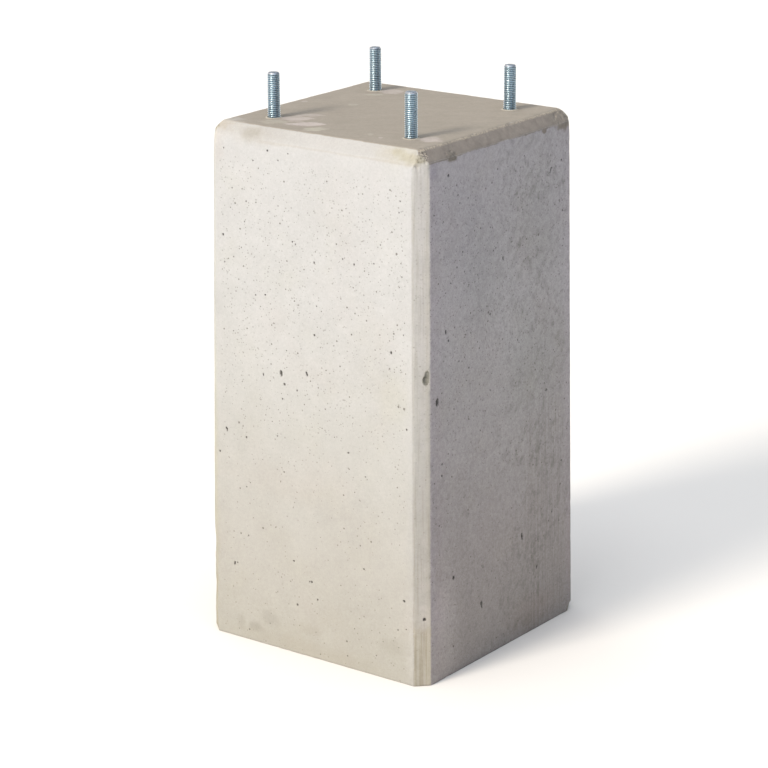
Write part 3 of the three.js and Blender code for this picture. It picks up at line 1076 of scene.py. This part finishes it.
    # Specks, painted shade of air holes too small for the mesh: dense fine ones in the upper half,
    # fewer larger ones, none under the bevel
    crowd = (s.z + clouds * 40).step(120, 330)
    below_bevel = 1 - (s.z + mottle * 5).step(462, 480)
    inner = 1 - (s.x.absolute() + mottle * 3).step(104, 112)
    clear = below_bevel * (inner * left).larger(1 - left) * (1 - top.larger(bevel))
    clear = clear * (1 - chamfer * 0.5)
    fine_pore_shade = s.specks(2.2, 0.95, crowd * (0.36 + right * 0.2) + 0.12, 1) * clear
    colour = s.tinted(fine_pore_shade * 0.7, colour, (0.53, 0.52, 0.49))
    specks = s.specks(4.6, 1.05, crowd * 0.3 + 0.08, 2).larger(s.specks(9, 1.35, 0.3, 3)) * clear
    colour = s.tinted(specks * 0.85, colour, (0.32, 0.3, 0.27))
    # Painted shade: the air holes darkened by their depth
    colour = s.mix(pore_shade * 0.85, colour, own(72, 66, 56))

    # Broken places: grit of pale cement and dark pits
    grit = s.ramp(s.noise(2.4, 3, 17) * 0.5 + 0.5, (
        (0.2, own(118, 108, 92)),
        (0.45, own(190, 178, 154)),
        (0.8, own(222, 213, 192)),
    ))
    colour = s.mix(broken * (1 - top) * 0.85, colour, grit)
    chip = s.patch((119, -117, CHIP_HEIGHT), (9, 9, 10), ragged * 0.1, soft=0.12)
    chip_grit = s.mix(crumbs.step(-0.5, 0.5), own(128, 122, 108), own(176, 170, 156))
    colour = s.mix(chip * broken, colour, chip_grit)

    height = grain * 0.02 + mottle * 0.03 + crumbs * (broken + right_bevel) * 0.12
    roughness = 0.84 + grain * 0.05
    return s.finish(colour, roughness, height)


def zinc_material():
    s = Surface("blue_zinc")
    crest, _, tip, _ = s.attribute("thread")
    s.shader.inputs["Metallic"].default_value = 1
    film = s.noise(6, 3, 1)
    # Painted shade: the zinc darkens from the crests down into the thread's roots
    colour = s.ramp(crest, (
        (0.0, (0.14, 0.2, 0.25)),
        (0.3, (0.42, 0.54, 0.62)),
        (0.7, (0.68, 0.8, 0.88)),
        (1.0, (0.85, 0.92, 0.95)),
    ))
    colour = s.scaled(colour, 1 + film * 0.08)
    colour = s.mix(tip, colour, (0.82, 0.82, 0.88))
    roughness = 0.28 + film * 0.03 + tip * 0.25
    return s.finish(colour, roughness)


# Stage, light and camera

CAMERA_AZIMUTH, CAMERA_ELEVATION, CAMERA_ROLL = map(math.radians, (36.62, 17.16, 0.23))
CAMERA_DISTANCE = 2.685
CAMERA_LENS = 132.2
AIM_LEFT, AIM_DOWN = 0.00895, 0.0118  # the photograph's middle, from the block's own


def towards(azimuth, elevation):
    """Unit vector from the object towards something at that azimuth and elevation, in radians."""
    level = math.cos(elevation)
    return Vector((math.sin(azimuth) * level, -math.cos(azimuth) * level, math.sin(elevation)))


def add_camera():
    back = towards(CAMERA_AZIMUTH, CAMERA_ELEVATION)
    right = Vector((math.cos(CAMERA_AZIMUTH), math.sin(CAMERA_AZIMUTH), 0))
    up = back.cross(right)
    middle = Vector((0, 0, HEIGHT / 2 * MM))
    aim = middle - right * AIM_LEFT - up * AIM_DOWN
    axes = Matrix((right, up, back)).transposed()
    camera = bpy.data.objects.new("camera", bpy.data.cameras.new("camera"))
    camera.data.lens = CAMERA_LENS
    camera.data.sensor_width = 36
    camera.matrix_world = Matrix.Translation(aim + back * CAMERA_DISTANCE) @ (
        axes.to_4x4() @ Matrix.Rotation(-CAMERA_ROLL, 4, "Z")
    )
    bpy.context.scene.collection.objects.link(camera)
    bpy.context.scene.camera = camera


def add_sun(name, azimuth, elevation, strength, softness, colour, in_reflections=True):
    light = bpy.data.lights.new(name, "SUN")
    light.energy = strength
    light.angle = math.radians(softness)
    light.color = colour
    lamp = bpy.data.objects.new(name, light)
    direction = towards(math.radians(azimuth), math.radians(elevation))
    lamp.rotation_euler = direction.to_track_quat("Z", "Y").to_euler()
    lamp.location = direction * 3
    lamp.visible_glossy = in_reflections
    bpy.context.scene.collection.objects.link(lamp)


FLOOR_REACH = 20000.0


def add_floor():
    corners = [(-1, -1, 0), (1, -1, 0), (1, 1, 0), (-1, 1, 0)]
    floor = add_mesh("floor", np.array(corners) * FLOOR_REACH, np.array([(0, 1, 2, 3)]))
    material = bpy.data.materials.new("pale_floor")
    material.use_nodes = True
    shader = material.node_tree.nodes["Principled BSDF"]
    shader.inputs["Base Color"].default_value = (0.75, 0.72, 0.69, 1)
    shader.inputs["Roughness"].default_value = 1.0
    shader.inputs["Specular IOR Level"].default_value = 0.0
    floor.data.materials.append(material)


# The studio round the object: screens and dark gaps by how far to the camera's right they stand,
# from -1 to 1. One row is for directions near overhead, one for lower ones on the camera's side.
# Behind the object a bright strip stands along the horizon, with a dark gap above it.
HIGH_SCREENS = (
    (-1.0, (0.3, 0.35, 0.36)),
    (-0.42, (0.06, 0.1, 0.11)),
    (-0.35, (2.3, 2.5, 2.5)),
    (-0.1, (2.3, 2.5, 2.5)),
    (-0.05, (0.08, 0.12, 0.15)),
    (0.03, (0.08, 0.12, 0.15)),
    (0.07, (0.8, 1.1, 1.45)),
    (0.25, (0.7, 1.0, 1.35)),
    (0.36, (0.08, 0.13, 0.18)),
    (1.0, (0.08, 0.13, 0.18)),
)
FRONT_SCREENS = (
    (-1.0, (0.7, 0.78, 0.8)),
    (-0.75, (0.9, 0.97, 0.98)),
    (-0.3, (0.9, 0.97, 0.98)),
    (-0.12, (0.14, 0.19, 0.22)),
    (0.06, (0.14, 0.19, 0.22)),
    (0.15, (0.36, 0.52, 0.7)),
    (0.5, (0.28, 0.42, 0.56)),
    (0.65, (0.06, 0.09, 0.14)),
    (1.0, (0.06, 0.09, 0.14)),
)
STRIP_BEHIND, GAP_BEHIND = (1.5, 1.53, 1.55), (0.06, 0.1, 0.11)
SCREEN_STRENGTH = 0.7


def add_world():
    world = bpy.data.worlds.new("studio")
    world.use_nodes = True
    studio = Nodes(world.node_tree)
    where = studio.node("ShaderNodeTexCoord").outputs["Generated"]
    turned = studio.node("ShaderNodeMapping", where)
    turned.inputs["Rotation"].default_value = (0, 0, -CAMERA_AZIMUTH)
    aside, away, up = studio.channels("ShaderNodeSeparateXYZ", turned.outputs[0])

    def screens_by_place(screens):
        stops = [((place + 1) / 2, colour) for place, colour in screens]
        return studio.ramp(aside * 0.5 + 0.5, stops)

    behind = studio.mix(up.step(0.24, 0.32), STRIP_BEHIND, GAP_BEHIND)
    low = studio.mix(away.step(-0.05, 0.05), screens_by_place(FRONT_SCREENS), behind)
    sky = studio.mix(up.step(0.76, 0.84), low, screens_by_place(HIGH_SCREENS))
    shader = studio.tree.nodes["Background"]
    feed(shader.inputs["Color"], sky)
    feed(shader.inputs["Strength"], SCREEN_STRENGTH)
    bpy.context.scene.world = world


def build():
    bpy.context.scene.view_settings.view_transform = "Standard"
    add_camera()
    add_world()
    add_floor()
    warm = (1.0, 0.93, 0.82)
    add_sun("key", -13, 31, 2.13, 16, warm, in_reflections=False)
    add_sun("sheen", -13, 31, 1.3, 20, warm)
    add_sun("overhead", 30, 88, 1.9, 60, (1.0, 0.975, 1.0), in_reflections=False)

    block = concrete_block()
    block.data.materials.append(concrete_material())
    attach(block, "root")
    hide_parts("concrete_block")

    zinc = zinc_material()
    for rod, name in zip(threaded_rods(), ROD_NAMES):
        rod.data.materials.append(zinc)
        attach(rod, "root")
        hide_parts("threaded_rod_" + name)


build()
